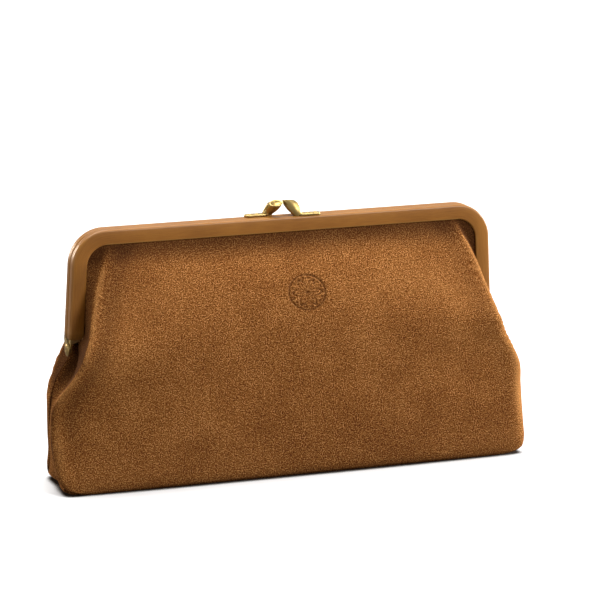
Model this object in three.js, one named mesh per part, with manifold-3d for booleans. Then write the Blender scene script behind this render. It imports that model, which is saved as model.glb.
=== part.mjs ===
// Kiss-lock clutch purse: a suede pouch whose mouth is glued into a two-part hinged brass frame.
// The frame is covered in smooth tan leather and closes with two crossing brass horns.
// Millimetres, +X along the frame, +Y towards the back, +Z up. The origin is the centre of the base.
import * as THREE from "three";
import { mergeVertices } from "three/addons/utils/BufferGeometryUtils.js";
import Module from "manifold-3d";

const wasm = await Module();
wasm.setup();

// ---------------------------------------------------------------- driving dimensions
const FRAME_WIDTH = 250; // outside of the covered frame, where its corners meet the arms
const FRAME_TOP = 143; // top of the covered frame above the base
const CORNER_RADIUS = 20; // outside corner of the covered frame
const BAR_HEIGHT = 8.4; // covered bar, from its outside to its inside edge
const HALF_DEPTH = 5.3; // one half of the frame, from the parting plane to its face
const SPLAY = THREE.MathUtils.degToRad(2.9); // each arm leans outwards by this much
const ARM_END = 83; // height where the leather cover of an arm stops
const HINGE_HEIGHT = 76.4; // hinge axis above the base

const POUCH_HALF_LENGTH = 142; // widest, at the side seams
const POUCH_HALF_DEPTH = 27; // belly of each panel
const SEAM_DEPTH = 20; // side seams and bottom seams, from the middle plane
const CORNER_FILLET = 12; // bottom corners of the pouch
const MOUTH_BULGE = 22.5; // how far a panel stands out of its channel at its fullest
const FOLD_HEIGHT = 63; // each panel folds here as the frame opens, so it is held as two solids
const FOLD_GAP = 2.4; // between those two solids
const FOLD_RISE = 13; // the fold line climbs to the hinges at both ends

const SUEDE = 1.2; // thicknesses
const CHANNEL_SUEDE = 0.9;
const LINING = 0.4;
const COVER = 0.6;
const BRASS = 0.6;
const GAP = 0.15; // between pieces that touch
const LOOSE = 1; // between the loose lining and the suede, and along the seams
const PARTING_GAP = 0.2; // from the middle plane to each half of the frame
const HEM_LIFT = 0.02; // the panels' bottom edges, just above the base
const LINING_FLOOR = 4.2; // bottom edges of the panels' linings

// ---------------------------------------------------------------- derived sizes
const ARC_CENTRE_X = FRAME_WIDTH / 2 - CORNER_RADIUS / Math.cos(SPLAY);
const ARC_CENTRE_Z = FRAME_TOP - CORNER_RADIUS;
const CHANNEL_OUTSET = COVER + 0.1; // the channel sits this far inside the cover
const CHANNEL_BACK = -(PARTING_GAP + CHANNEL_OUTSET);
const CHANNEL_FRONT = -(HALF_DEPTH - CHANNEL_OUTSET);
const CHANNEL_MOUTH = BAR_HEIGHT - 0.4;
const EDGE_INSET = 2.6; // the pouch's glued edge, from the outside of the frame
const PANEL_FACE = CHANNEL_FRONT + BRASS + GAP; // glued edge of the suede, its front face
const LINING_FACE = PANEL_FACE + CHANNEL_SUEDE + GAP;
const CORD_FACE = LINING_FACE + LINING + GAP;

// ---------------------------------------------------------------- materials
const material = (colour, roughness, metalness) =>
  new THREE.MeshStandardMaterial({ color: colour, roughness, metalness });
const suede = material(0x7e502a, 0.95, 0);
const tanLeather = material(0x925f34, 0.45, 0);
const brass = material(0xc9ad70, 0.35, 1);
const cotton = material(0xb99a6c, 0.9, 0);
const paper = material(0xc8b48c, 0.9, 0);
const board = material(0x5b4636, 0.85, 0);

// ---------------------------------------------------------------- solids
function solidOf(geometry) {
  const bare = geometry.clone();
  bare.deleteAttribute("normal");
  bare.deleteAttribute("uv");
  const merged = mergeVertices(bare, 1e-4);
  return new wasm.Manifold(
    new wasm.Mesh({
      numProp: 3,
      vertProperties: merged.getAttribute("position").array,
      triVerts: new Uint32Array(merged.index.array),
    }),
  );
}

function geometryOf(solid) {
  const { vertProperties, triVerts } = solid.getMesh();
  const geometry = new THREE.BufferGeometry();
  geometry.setAttribute("position", new THREE.BufferAttribute(vertProperties, 3));
  geometry.setIndex(new THREE.BufferAttribute(triVerts, 1));
  return geometry;
}

const union = (...geometries) => geometryOf(geometries.map(solidOf).reduce((a, b) => a.add(b)));

const cut = (body, ...tools) =>
  geometryOf(tools.map(solidOf).reduce((a, b) => a.subtract(b), solidOf(body)));

function named(name, geometry, finish) {
  const mesh = new THREE.Mesh(geometry, finish);
  mesh.name = name;
  return mesh;
}

// A plate whose outline lies in the XZ plane and whose thickness runs from y = low to y = high.
function plateY(outline, low, high) {
  const geometry = new THREE.ExtrudeGeometry(new THREE.Shape(outline), {
    depth: high - low,
    bevelEnabled: false,
  });
  return geometry.rotateX(Math.PI / 2).translate(0, high, 0);
}

// A plate whose outline lies in the YZ plane and whose thickness runs from x = low to x = high.
function plateX(shape, low, high) {
  const geometry = new THREE.ExtrudeGeometry(shape, {
    depth: high - low,
    bevelEnabled: false,
    curveSegments: 12,
  });
  const yzx = new THREE.Matrix4().makeBasis(
    new THREE.Vector3(0, 1, 0),
    new THREE.Vector3(0, 0, 1),
    new THREE.Vector3(1, 0, 0),
  );
  return geometry.applyMatrix4(yzx).translate(low, 0, 0);
}

// A closed body from a list of rings with the same number of points; each end is closed by a fan.
function loft(rings) {
  const count = rings[0].length;
  const points = rings.flat();
  const faces = [];
  for (let r = 0; r + 1 < rings.length; r++)
    for (let i = 0; i < count; i++) {
      const a = r * count + i;
      const b = r * count + ((i + 1) % count);
      faces.push(a, b, b + count, a, b + count, a + count);
    }
  const centreOf = (ring) =>
    ring.reduce((sum, p) => sum.add(p), new THREE.Vector3()).divideScalar(count);
  const first = points.push(centreOf(rings[0])) - 1;
  const last = points.push(centreOf(rings[rings.length - 1])) - 1;
  const lastRing = (rings.length - 1) * count;
  for (let i = 0; i < count; i++) {
    const next = (i + 1) % count;
    faces.push(first, next, i, last, lastRing + i, lastRing + next);
  }
  const geometry = new THREE.BufferGeometry().setFromPoints(points);
  geometry.setIndex(faces);
  return geometry;
}

// A sheet of even thickness. point(u, v) is its outer face, with u and v from 0 to 1;
// inward gives the direction of its thickness, or the surface's own normal is used.
function sheet(point, across, along, thickness, inward) {
  const step = 1e-3;
  const outer = [];
  const inner = [];
  for (let j = 0; j <= along; j++)
    for (let i = 0; i <= across; i++) {
      const u = i / across;
      const v = j / along;
      const here = point(u, v);
      const normal =
        inward ??
        point(Math.min(u + step, 1), v)
          .sub(point(Math.max(u - step, 0), v))
          .cross(point(u, Math.min(v + step, 1)).sub(point(u, Math.max(v - step, 0))))
          .normalize()
          .negate();
      outer.push(here);
      inner.push(here.clone().addScaledVector(normal, thickness));
    }
  const width = across + 1;
  const count = outer.length;
  const faces = [];
  const quad = (a, b, c, d) => faces.push(a, b, c, a, c, d);
  for (let j = 0; j < along; j++)
    for (let i = 0; i < across; i++) {
      const a = j * width + i;
      quad(a, a + 1, a + 1 + width, a + width);
      quad(count + a, count + a + width, count + a + 1 + width, count + a + 1);
    }
  for (let i = 0; i < across; i++) {
    const top = along * width + i;
    quad(i, count + i, count + i + 1, i + 1);
    quad(top, top + 1, count + top + 1, count + top);
  }
  for (let j = 0; j < along; j++) {
    const left = j * width;
    const right = left + across;
    quad(left, left + width, count + left + width, count + left);
    quad(right, count + right, count + right + width, right + width);
  }
  const points = [...outer, ...inner];
  const sixVolumes = (i) => points[faces[i]].dot(points[faces[i + 1]].clone().cross(points[faces[i + 2]]));
  let volume = 0;
  for (let i = 0; i < faces.length; i += 3) volume += sixVolumes(i);
  if (volume < 0) faces.reverse(); // so that its faces point out whichever way the grid runs
  const geometry = new THREE.BufferGeometry().setFromPoints(points);
  geometry.setIndex(faces);
  return geometry;
}

const smooth = (t) => THREE.MathUtils.smoothstep(t, 0, 1);

// ---------------------------------------------------------------- frame outline
// Half width of the arch's straight arm at height z, at this distance inside the cover's outside.
const armX = (z, inset) =>
  FRAME_WIDTH / 2 + (ARC_CENTRE_Z - z) * Math.tan(SPLAY) - inset / Math.cos(SPLAY);

// The arch as points in (x, z), from the left arm's end round to the right arm's end.
const PLAIN_STEPS = { bar: 1, corner: 8, arm: 1 };

function arch(inset, end = ARM_END, steps = PLAIN_STEPS) {
  const radius = CORNER_RADIUS - inset;
  const right = [];
  for (let i = 1; i < steps.bar; i++)
    right.push(new THREE.Vector2((ARC_CENTRE_X * i) / steps.bar, FRAME_TOP - inset));
  for (let i = 0; i <= steps.corner; i++) {
    const angle = THREE.MathUtils.lerp(Math.PI / 2, SPLAY, i / steps.corner);
    const fromCentre = new THREE.Vector2(Math.cos(angle), Math.sin(angle)).multiplyScalar(radius);
    right.push(new THREE.Vector2(ARC_CENTRE_X, ARC_CENTRE_Z).add(fromCentre));
  }
  const armTop = right[right.length - 1].y;
  for (let i = 1; i <= steps.arm; i++) {
    const z = THREE.MathUtils.lerp(armTop, end, i / steps.arm);
    right.push(new THREE.Vector2(armX(z, inset), z));
  }
  const left = right.map((p) => new THREE.Vector2(-p.x, p.y)).reverse();
  return [...left, ...right];
}

// The part of the arch between two insets, from y = low to y = high.
const archBand = (outer, inner, low, high, end) =>
  plateY([...arch(outer, end), ...arch(inner, end).reverse()], low, high);

// ---------------------------------------------------------------- hinge ears
const EAR_RADIUS = 3.5;
const EAR_THICKNESS = 0.8;
const RIVET_RADIUS = 1;
const RIVET_CLEARANCE = 0.1;
const INNER_EAR = armX(ARM_END, CHANNEL_OUTSET) - 1.15; // inner faces of the two ears
const OUTER_EAR = INNER_EAR + EAR_THICKNESS + PARTING_GAP;

// The web of the channel narrows below the cover and ends in a round eye on the hinge axis.
function ear(sign, innerFace) {
  const top = ARM_END - 0.3;
  const shape = new THREE.Shape();
  shape.moveTo(CHANNEL_FRONT, top);
  shape.lineTo(-EAR_RADIUS, HINGE_HEIGHT);
  shape.absarc(0, HINGE_HEIGHT, EAR_RADIUS, Math.PI, Math.PI * 2.2, false);
  shape.lineTo(CHANNEL_BACK, top);
  const hole = new THREE.Path();
  hole.absarc(0, HINGE_HEIGHT, RIVET_RADIUS + RIVET_CLEARANCE, 0, Math.PI * 2, true);
  shape.holes.push(hole);
  const low = sign > 0 ? innerFace : -innerFace - EAR_THICKNESS;
  return plateX(shape, low, low + EAR_THICKNESS);
}

// The web carries on past the cover, and the channel's front wall tapers away to it.
function armTip(sign) {
  const web = armX(ARM_END, CHANNEL_OUTSET);
  const tip = ARM_END - 2.6;
  const start = ARM_END + 1.5;
  const webPlate = plateX(
    new THREE.Shape([
      new THREE.Vector2(CHANNEL_FRONT, tip),
      new THREE.Vector2(CHANNEL_BACK - 0.6, tip),
      new THREE.Vector2(CHANNEL_BACK, start),
      new THREE.Vector2(CHANNEL_FRONT, start),
    ]),
    sign > 0 ? web - BRASS : -web,
    sign > 0 ? web : -web + BRASS,
  );
  const taper = plateY(
    [
      new THREE.Vector2(sign * web, start),
      new THREE.Vector2(sign * web, tip),
      new THREE.Vector2(sign * (web - 1.2), tip),
      new THREE.Vector2(sign * armX(ARM_END, CHANNEL_MOUTH), ARM_END - 0.6),
      new THREE.Vector2(sign * armX(ARM_END, CHANNEL_MOUTH), start),
    ],
    CHANNEL_FRONT,
    CHANNEL_FRONT + BRASS,
  );
  return [webPlate, taper];
}

// ---------------------------------------------------------------- clasp
const FOOT_END = 21.4; // the foot's tip, along the frame from the middle
const FOOT_START = 8.5;
const FOOT_THICKNESS = 1;
const FOOT_HALF_WIDTH = 1.9;
const HALF_MIDDLE = -(HALF_DEPTH + PARTING_GAP) / 2; // the foot's centre line
const PIN_RADIUS = 0.8;
const PINS = [12.5, 17.5]; // integral pins, peened over inside the channel
const FOOT_BASE = FRAME_TOP + 0.1;

const pinHole = (x) =>
  new THREE.CylinderGeometry(PIN_RADIUS + 0.1, PIN_RADIUS + 0.1, 6, 12)
    .rotateX(Math.PI / 2)
    .translate(x, HALF_MIDDLE, FRAME_TOP);

function clasp() {
  const outline = new THREE.Shape();
  outline.moveTo(FOOT_START, -FOOT_HALF_WIDTH);
  outline.lineTo(FOOT_END - 2.5, -FOOT_HALF_WIDTH * 0.9);
  outline.quadraticCurveTo(FOOT_END + 0.6, 0, FOOT_END - 2.5, FOOT_HALF_WIDTH * 0.9);
  outline.lineTo(FOOT_START, FOOT_HALF_WIDTH);
  outline.quadraticCurveTo(FOOT_START - 1.6, 0, FOOT_START, -FOOT_HALF_WIDTH);
  const foot = new THREE.ExtrudeGeometry(outline, {
    depth: FOOT_THICKNESS,
    bevelEnabled: false,
    curveSegments: 6,
  }).translate(0, HALF_MIDDLE, FOOT_BASE);

  // The horn leaves the foot, leans towards the middle and over the other half, and flares.
  const spine = new THREE.CatmullRomCurve3([
    new THREE.Vector3(10.2, HALF_MIDDLE, FOOT_BASE + 0.4),
    new THREE.Vector3(9.0, HALF_MIDDLE + 0.3, FOOT_BASE + 2.4),
    new THREE.Vector3(7.0, HALF_MIDDLE + 2.0, FOOT_BASE + 5.1),
    new THREE.Vector3(4.6, HALF_MIDDLE + 4.2, FOOT_BASE + 8.0),
  ]);
  const mouthTilt = new THREE.Vector3(0.12, 0.42, 1).normalize();
  const rings = [];
  const ringSteps = 8;
  const ring = (centre, axis, half) => {
    const side = new THREE.Vector3(1, 0, 0).addScaledVector(axis, -axis.x).normalize();
    const other = axis.clone().cross(side);
    return Array.from({ length: 14 }, (_, i) => {
      const angle = (i / 14) * Math.PI * 2;
      return centre
        .clone()
        .addScaledVector(side, half.x * Math.cos(angle))
        .addScaledVector(other, half.y * Math.sin(angle));
    });
  };
  for (let i = 0; i <= ringSteps; i++) {
    const t = i / ringSteps;
    const flare = Math.pow(t, 1.8);
    const half = new THREE.Vector2(1.45 + 2.15 * flare, 1.6 + 1.5 * flare);
    const upright = new THREE.Vector3(0, 0, Math.max(1 - 3 * t, 0) * 4);
    const axis = spine.getTangent(t).add(upright).lerp(mouthTilt, t ** 2).normalize();
    rings.push(ring(spine.getPoint(t), axis, half));
  }
  const lip = spine.getPoint(1);
  rings.push(ring(lip.clone().addScaledVector(mouthTilt, -0.15), mouthTilt, new THREE.Vector2(2.9, 2.4)));
  rings.push(ring(lip.clone().addScaledVector(mouthTilt, -0.6), mouthTilt, new THREE.Vector2(1.4, 1.2)));
  const pins = PINS.map((x) =>
    new THREE.CylinderGeometry(PIN_RADIUS, PIN_RADIUS, 2.6, 12)
      .rotateX(Math.PI / 2)
      .translate(x, HALF_MIDDLE, FOOT_BASE - 1),
  );
  return union(foot, loft(rings), ...pins);
}

// ---------------------------------------------------------------- one half of the frame
function frameChannel() {
  const band = archBand(CHANNEL_OUTSET, CHANNEL_MOUTH, CHANNEL_FRONT, CHANNEL_BACK);
  const hollow = archBand(
    CHANNEL_OUTSET + BRASS,
    BAR_HEIGHT + 2,
    CHANNEL_FRONT + BRASS,
    CHANNEL_BACK - BRASS,
    ARM_END - 5,
  );
  const channel = cut(band, hollow, ...PINS.map(pinHole));
  return union(channel, ...armTip(-1), ...armTip(1), ear(-1, INNER_EAR), ear(1, OUTER_EAR));
}

function frameCover() {
  const band = archBand(0, BAR_HEIGHT, -HALF_DEPTH, -PARTING_GAP);
  const hollow = archBand(
    COVER,
    BAR_HEIGHT + 2,
    -HALF_DEPTH + COVER,
    -PARTING_GAP - COVER,
    ARM_END - 5,
  );
  return cut(band, hollow, ...PINS.map(pinHole));
}

const channelCord = () =>
  archBand(EDGE_INSET, EDGE_INSET + 2.4, CORD_FACE, CORD_FACE + 0.6, ARM_END + 1);

function hingeRivet() {
  const innerHead = INNER_EAR - 0.15;
  const outerHead = OUTER_EAR + EAR_THICKNESS + 0.15;
  const profile = [
    new THREE.Vector2(0, innerHead - 0.7),
    new THREE.Vector2(1.5, innerHead - 0.7),
    new THREE.Vector2(1.8, innerHead - 0.4),
    new THREE.Vector2(1.8, innerHead),
    new THREE.Vector2(RIVET_RADIUS, innerHead),
    new THREE.Vector2(RIVET_RADIUS, outerHead),
    new THREE.Vector2(1.7, outerHead),
    new THREE.Vector2(1.3, outerHead + 0.35),
    new THREE.Vector2(0, outerHead + 0.45),
  ];
  return new THREE.LatheGeometry(profile, 16).rotateZ(-Math.PI / 2).translate(0, 0, HINGE_HEIGHT);
}

// ---------------------------------------------------------------- pouch above the hinge
// Height of the fold between a panel's two solids.
function foldLine(x) {
  const riseStart = 104;
  const riseRun = 14;
  return FOLD_HEIGHT + FOLD_RISE * smooth((Math.abs(x) - riseStart) / riseRun);
}

// How far a panel stands in front of its glued edge, in (x, z). It is flat inside the channel.
function mouthBulge(x, z) {
  const beyondX = Math.max(Math.abs(x) - ARC_CENTRE_X, 0);
  const beyondZ = Math.max(z - ARC_CENTRE_Z, 0);
  const fromCorner = CORNER_RADIUS - BAR_HEIGHT - Math.hypot(beyondX, beyondZ);
  const fromSide = armX(z, BAR_HEIGHT) - Math.abs(x);
  const fromTop = FRAME_TOP - BAR_HEIGHT - z;
  const inside = beyondZ > 0 && beyondX > 0 ? fromCorner : Math.min(fromSide, fromTop);
  const reach = THREE.MathUtils.mapLinear(z, FOLD_HEIGHT, FRAME_TOP, 12, 24);
  const side = Math.sin((Math.PI / 2) * THREE.MathUtils.clamp(fromSide / reach, 0, 1));
  const drop = THREE.MathUtils.clamp(fromTop / (FRAME_TOP - BAR_HEIGHT - FOLD_HEIGHT), 0, 1);
  const full = MOUTH_BULGE * side * Math.sin((Math.PI / 2) * Math.pow(drop, 0.8));
  return full * smooth((inside - 0.4) / 3);
}

// The mouth part of a panel: its grid runs from the glued edge, out of the channel, to the fold.
function upperSheet(face, thickness) {
  const end = FOLD_HEIGHT + FOLD_RISE + FOLD_GAP / 2;
  const steps = { bar: 6, corner: 4, arm: 4 };
  const rows = 7; // the first lies inside the channel
  const glued = arch(EDGE_INSET, end, steps);
  const lip = arch(BAR_HEIGHT + 0.4, end, steps);
  const columns = glued.length - 1;
  const foldHalf = armX(end, BAR_HEIGHT + 1.5);
  const point = (u, v) => {
    const column = Math.round(u * columns);
    const x = (2 * u - 1) * foldHalf;
    const fold = new THREE.Vector2(x, foldLine(x) + FOLD_GAP / 2);
    const drop = Math.pow(Math.max(v * rows - 1, 0) / (rows - 1), 1.3);
    const at = v === 0 ? glued[column].clone() : lip[column].clone().lerp(fold, drop);
    return new THREE.Vector3(at.x, face - mouthBulge(at.x, at.y), at.y);
  };
  return sheet(point, columns, rows, thickness, new THREE.Vector3(0, 1, 0));
}

// ---------------------------------------------------------------- pouch below the hinge
// Half length at height z, at the side seams.
function pouchHalfLength(z) {
  const under = CORNER_FILLET - z;
  if (under > 0)
    return POUCH_HALF_LENGTH - CORNER_FILLET + Math.sqrt(CORNER_FILLET ** 2 - under ** 2);
  const shoulder = 40; // above it the ends draw in towards the hinges
  const narrowing = 17;
  const run = 44;
  return POUCH_HALF_LENGTH - narrowing * smooth((z - shoulder) / run);
}

// How far the side seams stand from the middle plane at height z.
function seamDepth(z) {
  const shoulder = 42;
  const narrowing = 8;
  const run = 33;
  return SEAM_DEPTH - narrowing * smooth((z - shoulder) / run);
}

// Depth of the panel's belly at height z: it rolls up from the bottom seam and then swells.
function bellyDepth(z) {
  const swell = 1.5;
  const rollHeight = 8;
  const roll = z < rollHeight ? Math.sqrt(1 - (1 - z / rollHeight) ** 2) : 1;
  const hem = SEAM_DEPTH + 0.3;
  return hem + (POUCH_HALF_DEPTH - swell - hem) * roll + swell * smooth((z - rollHeight) / 45);
}

// One panel from its bottom edge to topOf(x), moved inwards by inset.
function lowerSheet(inset, thickness, bottom, topOf, across, along) {
  const fullness = 5;
  const crowding = 1.7; // gathers the rows towards the rolled bottom
  const point = (u, v) => {
    const angle = Math.PI * (1 - u);
    const c = Math.cos(angle);
    const spread = Math.sign(c) * Math.pow(Math.abs(c), 2 / fullness);
    const top = topOf(spread * pouchHalfLength(FOLD_HEIGHT + FOLD_RISE));
    const z = bottom + (top - bottom) * Math.pow(v, crowding);
    const depth = bellyDepth(z) - seamDepth(z);
    const x = (pouchHalfLength(z) - inset) * spread;
    const y = seamDepth(z) - inset + depth * Math.pow(Math.sin(angle), 2 / fullness);
    return new THREE.Vector3(x, -y, z);
  };
  return sheet(point, across, along, thickness);
}

// The strip that makes both ends and the base, as stations along it.
function gussetSheet(inset, thickness, top, seamGap, across) {
  const stations = [];
  const sideSteps = 7;
  for (let i = 0; i <= sideSteps; i++) {
    const z = THREE.MathUtils.lerp(top, CORNER_FILLET, i / sideSteps);
    stations.push(new THREE.Vector2(-pouchHalfLength(z) + inset, z));
  }
  const turns = 4;
  for (let i = 1; i <= turns; i++) {
    const angle = Math.PI + (Math.PI / 2) * (i / turns);
    const radius = CORNER_FILLET - inset;
    stations.push(
      new THREE.Vector2(
        -POUCH_HALF_LENGTH + CORNER_FILLET + radius * Math.cos(angle),
        CORNER_FILLET + radius * Math.sin(angle),
      ),
    );
  }
  const path = [...stations, ...stations.map((p) => new THREE.Vector2(-p.x, p.y)).reverse()];
  const foldIn = 3; // how far the middle of the strip is folded in, above foldFrom
  const foldFrom = 20;
  const foldRun = 30;
  const point = (u, v) => {
    const at = Math.min(v * (path.length - 1), path.length - 1 - 1e-9);
    const here = path[Math.floor(at)].clone().lerp(path[Math.floor(at) + 1], at - Math.floor(at));
    const half = seamDepth(here.y) - seamGap;
    const side = 2 * u - 1;
    const hollow = foldIn * smooth((here.y - foldFrom) / foldRun) * (1 - side ** 2);
    return new THREE.Vector3(here.x - Math.sign(here.x) * hollow, half * side, here.y);
  };
  return sheet(point, across, path.length - 1, thickness);
}

// ---------------------------------------------------------------- assembly
// Each half of the frame is the same part; the back one is turned half a turn about Z.
function frameHalf(side, rivetName) {
  const group = new THREE.Group();
  group.add(
    named(`${side}_frame`, frameChannel(), brass),
    named(`${side}_frame_cover`, frameCover(), tanLeather),
    named(`${side}_clasp`, clasp(), brass),
    named(`${side}_channel_cord`, channelCord(), paper),
    named(rivetName, hingeRivet(), brass),
    named(`${side}_panel_upper`, upperSheet(PANEL_FACE, CHANNEL_SUEDE), suede),
    named(`${side}_lining_upper`, upperSheet(LINING_FACE, LINING), cotton),
  );
  return group;
}

function pouchHalf(side) {
  const panelTop = (x) => foldLine(x) - FOLD_GAP / 2;
  const liningTop = () => FOLD_HEIGHT - 5; // below the path of the upper panel's edge
  const panel = lowerSheet(0, SUEDE, HEM_LIFT, panelTop, 24, 8);
  const lining = lowerSheet(SUEDE + LOOSE, LINING, LINING_FLOOR, liningTop, 16, 4);
  const group = new THREE.Group();
  group.add(
    named(`${side}_panel_lower`, panel, suede),
    named(`${side}_lining_lower`, lining, cotton),
  );
  return group;
}

const clutch = new THREE.Group();
const front = frameHalf("front", "right_hinge_rivet");
const back = frameHalf("back", "left_hinge_rivet");
back.rotation.z = Math.PI;
const frontPouch = pouchHalf("front");
const backPouch = pouchHalf("back");
backPouch.rotation.z = Math.PI;

const boardThickness = 1.4;
const boardLength = 2 * (POUCH_HALF_LENGTH - 22);
const boardWidth = 2 * SEAM_DEPTH - 5;
const stiffener = new THREE.BoxGeometry(boardLength, boardWidth, boardThickness);
stiffener.translate(0, 0, SUEDE + GAP + boardThickness / 2);

const pocketHalf = 70;
const pocketLow = 8;
const pocketHigh = 52;
const pocketOutline = [
  new THREE.Vector2(-pocketHalf, pocketLow),
  new THREE.Vector2(pocketHalf, pocketLow),
  new THREE.Vector2(pocketHalf, pocketHigh),
  new THREE.Vector2(-pocketHalf, pocketHigh),
];
const pocket = plateY(pocketOutline, SEAM_DEPTH + 0.4, SEAM_DEPTH + 1.2);

clutch.add(
  front,
  back,
  frontPouch,
  backPouch,
  named("gusset", gussetSheet(0, SUEDE, 70, LOOSE, 4), suede),
  named("gusset_lining", gussetSheet(3, LINING, 68, 4, 2), cotton),
  named("base_stiffener", stiffener, board),
  named("inner_pocket", pocket, cotton),
);

export default clutch;
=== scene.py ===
"""Kiss-lock clutch purse in brushed suede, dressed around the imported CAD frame."""
import math

import bmesh
import bpy
import numpy as np
from mathutils import Matrix, Vector, noise


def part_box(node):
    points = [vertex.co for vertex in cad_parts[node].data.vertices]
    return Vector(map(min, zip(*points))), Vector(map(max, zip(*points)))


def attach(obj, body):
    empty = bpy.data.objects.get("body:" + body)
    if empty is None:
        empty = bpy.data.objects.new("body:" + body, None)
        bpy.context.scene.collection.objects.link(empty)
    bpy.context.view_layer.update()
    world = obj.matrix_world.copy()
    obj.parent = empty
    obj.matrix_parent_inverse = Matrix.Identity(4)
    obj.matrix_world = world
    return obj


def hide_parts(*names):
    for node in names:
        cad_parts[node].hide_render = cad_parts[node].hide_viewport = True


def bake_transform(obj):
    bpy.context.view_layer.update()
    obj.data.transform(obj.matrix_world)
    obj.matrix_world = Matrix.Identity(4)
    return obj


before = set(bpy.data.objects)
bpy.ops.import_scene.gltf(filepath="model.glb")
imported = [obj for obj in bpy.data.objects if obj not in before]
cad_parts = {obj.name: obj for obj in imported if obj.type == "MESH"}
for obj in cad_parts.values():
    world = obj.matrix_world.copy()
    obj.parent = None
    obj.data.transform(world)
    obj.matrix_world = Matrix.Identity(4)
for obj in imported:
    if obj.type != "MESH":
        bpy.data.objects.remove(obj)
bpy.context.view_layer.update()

MM = 0.001  # shapes are worked out in millimetres and made in metres


# ------------------------ places taken from the frame
def box_mm(node):
    low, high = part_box(node)
    return np.array(low) / MM, np.array(high) / MM


cover_low, cover_high = box_mm("front_frame_cover")
rivet_low, rivet_high = box_mm("left_hinge_rivet")

FRAME_TOP = cover_high[2]
ARM_END = cover_low[2]
FACE_DEPTH = -cover_low[1]  # middle plane to the cover's face
PARTING = -cover_high[1]  # middle plane to the cover's back
HINGE_Z = (rivet_low[2] + rivet_high[2]) / 2
ARM_FOOT_X = cover_high[0]  # outside of an arm at its lower end
CORNER_RADIUS = 20.0
BAR_HEIGHT = 8.4
SPLAY = math.radians(2.9)
ARC_Z = FRAME_TOP - CORNER_RADIUS
ARC_X = ARM_FOOT_X - (ARC_Z - ARM_END) * math.tan(SPLAY) - CORNER_RADIUS / math.cos(SPLAY)
SUEDE_FACE = 3.85  # middle plane to the glued suede's face inside the channel

SUEDE = 1.1  # thickness of the suede
LINING = 0.4
LOOSE = 0.25  # between the suede and its lining


def arm_x(z, inset=0.0):
    """Distance of an arm's outside from the middle at height z, less an inset."""
    return ARC_X + (CORNER_RADIUS - inset) / math.cos(SPLAY) + (ARC_Z - z) * math.tan(SPLAY)


# ------------------------ smooth curves through keys
def smoothstep(t):
    t = np.clip(t, 0, 1)
    return t * t * (3 - 2 * t)


def unit(vector):
    return vector / np.linalg.norm(vector)


class Curve:
    """A smooth curve through rows of values at increasing knots."""

    def __init__(self, knots, values):
        self.t = np.array(knots, float)
        self.v = np.array(values, float)
        step = np.diff(self.t)[:, None]
        slope = np.diff(self.v, axis=0) / step
        inner = (slope[:-1] * step[1:] + slope[1:] * step[:-1]) / (step[1:] + step[:-1])
        self.m = np.vstack([slope[:1], inner, slope[-1:]])

    def __call__(self, t):
        t = np.clip(np.asarray(t, float), self.t[0], self.t[-1])
        i = np.clip(np.searchsorted(self.t, t, side="right") - 1, 0, len(self.t) - 2)
        h = (self.t[i + 1] - self.t[i])[..., None]
        s = (t - self.t[i])[..., None] / h
        a = self.v[i] * (1 + 2 * s) * (1 - s) ** 2 + self.m[i] * h * s * (1 - s) ** 2
        b = self.v[i + 1] * s * s * (3 - 2 * s) + self.m[i + 1] * h * s * s * (s - 1)
        return a + b


def chord_knots(points):
    """Distance along a line of points, from its start to each point."""
    steps = np.linalg.norm(np.diff(np.array(points, float), axis=0), axis=1)
    return np.concatenate([[0], np.cumsum(steps)])


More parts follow.
